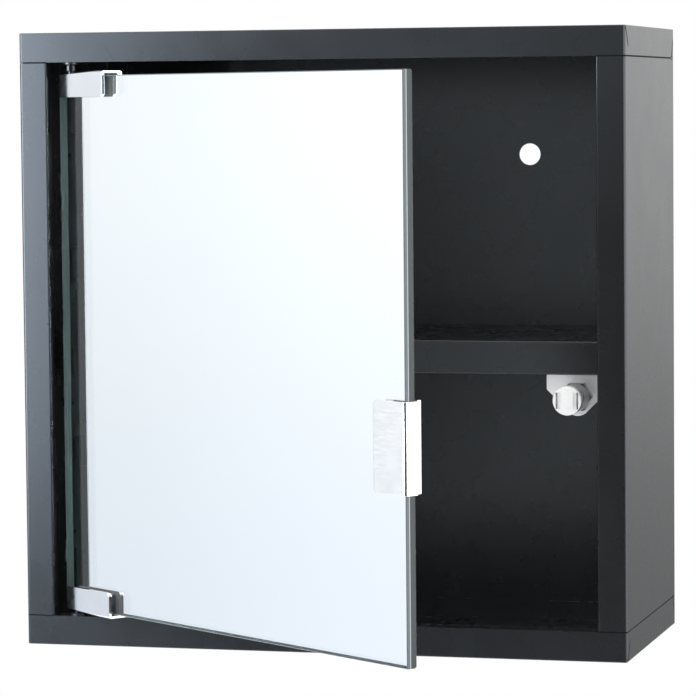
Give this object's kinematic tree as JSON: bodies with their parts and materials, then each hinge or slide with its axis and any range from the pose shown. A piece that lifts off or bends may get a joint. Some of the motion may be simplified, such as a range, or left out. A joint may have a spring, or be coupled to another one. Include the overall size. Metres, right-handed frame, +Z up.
{
  "type": "mirror cabinet",
  "caption": "Wall-hung square steel cabinet with a pivoting mirror-glass door, a fixed shelf and an adjustable magnetic catch.",
  "frame": {"origin": "midway between the two wall holes, on the plane that lies against the wall", "axes": "+X to the right seen from the front, +Y into the wall (the door faces -Y), +Z up"},
  "size_m": [0.3, 0.2799, 0.3],
  "materials": {
    "cabinet_paint": "black powder coat, satin, with a fine orange-peel texture",
    "mirror": "clear float glass with a bright silvered back",
    "backing": "light grey protective paint on the back of the silvering",
    "chrome": "bright chrome plate",
    "polished_steel": "bright drawn steel sheet",
    "pin_steel": "turned steel, fine rings",
    "zinc_steel": "bright zinc plate, slightly grained",
    "dark_steel": "black oxide",
    "bush_plastic": "black nylon",
    "pad": "soft black pad",
    "liner": "thin translucent tape",
    "white_plastic": "smooth moulded white, semi-gloss",
    "magnet": "sintered ferrite, matt"
  },
  "bodies": {
    "cabinet": {"top_panel": "cabinet_paint", "bottom_panel": "cabinet_paint", "left_side_panel": "cabinet_paint", "right_side_panel": "cabinet_paint", "back_panel": "cabinet_paint", "shelf": "cabinet_paint", "upper_pivot_bush": "bush_plastic", "lower_pivot_bush": "bush_plastic", "catch_bracket": "zinc_steel", "bracket_studs": "zinc_steel", "bracket_nuts": "zinc_steel", "catch_lock_nut": "dark_steel"},
    "door": {"mirror_glass": "mirror", "mirror_backing": "backing", "upper_hinge_clip": "chrome", "lower_hinge_clip": "chrome", "upper_pivot_pin": "pin_steel", "lower_pivot_pin": "pin_steel", "hinge_front_pads": "pad", "hinge_back_pads": "pad", "hinge_pressure_plates": "zinc_steel", "hinge_clamp_screws": "dark_steel", "door_handle": "polished_steel", "handle_liner": "liner", "catch_keeper": "polished_steel"},
    "catch": {"catch_stem": "zinc_steel", "catch_knob": "white_plastic", "catch_magnet": "magnet", "catch_pole_plates": "zinc_steel"}
  },
  "joints": [
    {"name": "door_hinge", "type": "hinge", "parent": "cabinet", "child": "door", "pos_m": [-0.12495, -0.1248, -0.0879], "axis": [0, 0, -1], "range_deg": [-35.95, 78.7]},
    {"name": "catch_advance", "type": "slide", "parent": "cabinet", "child": "catch", "axis": [0, 1, 0], "range_m": [0, 0.00375]}
  ]
}
